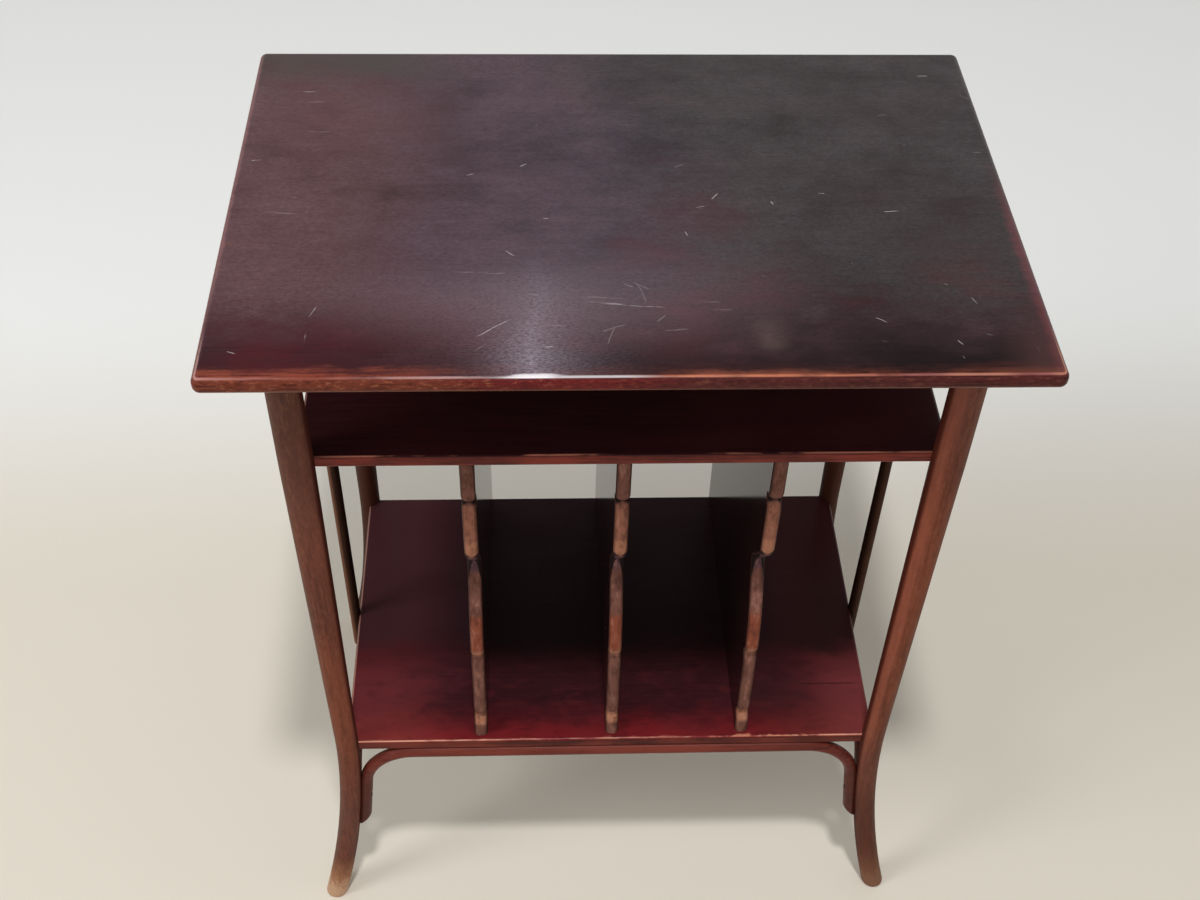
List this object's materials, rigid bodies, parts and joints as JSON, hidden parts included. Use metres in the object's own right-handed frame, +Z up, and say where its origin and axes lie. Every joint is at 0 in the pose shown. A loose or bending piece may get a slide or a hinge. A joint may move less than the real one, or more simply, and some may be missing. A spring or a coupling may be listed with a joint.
{
  "type": "music table",
  "caption": "Bentwood music table with a rectangular top, open shelves, scroll-cut upright dividers for sheet music, outswept legs and bent rod aprons.",
  "frame": {"origin": "on the floor under the middle of the table top", "axes": "+Z up, +X along the long side of the top to the right as seen from the front, front towards -Y"},
  "size_m": [0.603, 0.416, 0.74],
  "materials": {
    "top_wood": "satin dark mahogany stain over fine grain, worn at the edges",
    "mid_shelf_wood": "satin dark mahogany stain",
    "lower_shelf_wood": "glossy burgundy mahogany stain with a worn front edge",
    "batten_wood": "dark stain, unpolished",
    "leg_wood": "medium brown stain, matte, worn to bare wood at the feet",
    "divider_wood": "polished dark mahogany stain, lighter on the front edge",
    "rod_wood": "dark mahogany stain, satin",
    "apron_wood": "red-brown stain, satin, rubbed on the outer side",
    "dowel_wood": "bare beech",
    "screw_steel": "dull steel"
  },
  "bodies": {
    "root": {"table_top": "top_wood", "mid_shelf": "mid_shelf_wood", "lower_shelf": "lower_shelf_wood", "left_batten": "batten_wood", "right_batten": "batten_wood", "front_left_leg": "leg_wood", "front_right_leg": "leg_wood", "rear_left_leg": "leg_wood", "rear_right_leg": "leg_wood", "left_divider": "divider_wood", "middle_divider": "divider_wood", "right_divider": "divider_wood", "left_side_rod": "rod_wood", "right_side_rod": "rod_wood", "front_apron": "apron_wood", "rear_apron": "apron_wood", "left_apron": "apron_wood", "right_apron": "apron_wood", "mid_shelf_leg_dowels": "dowel_wood", "lower_shelf_leg_dowels": "dowel_wood", "upper_divider_dowels": "dowel_wood", "lower_divider_dowels": "dowel_wood", "batten_screws": "screw_steel", "rod_screws": "screw_steel", "apron_leg_screws": "screw_steel", "apron_shelf_screws": "screw_steel"}
  },
  "joints": []
}
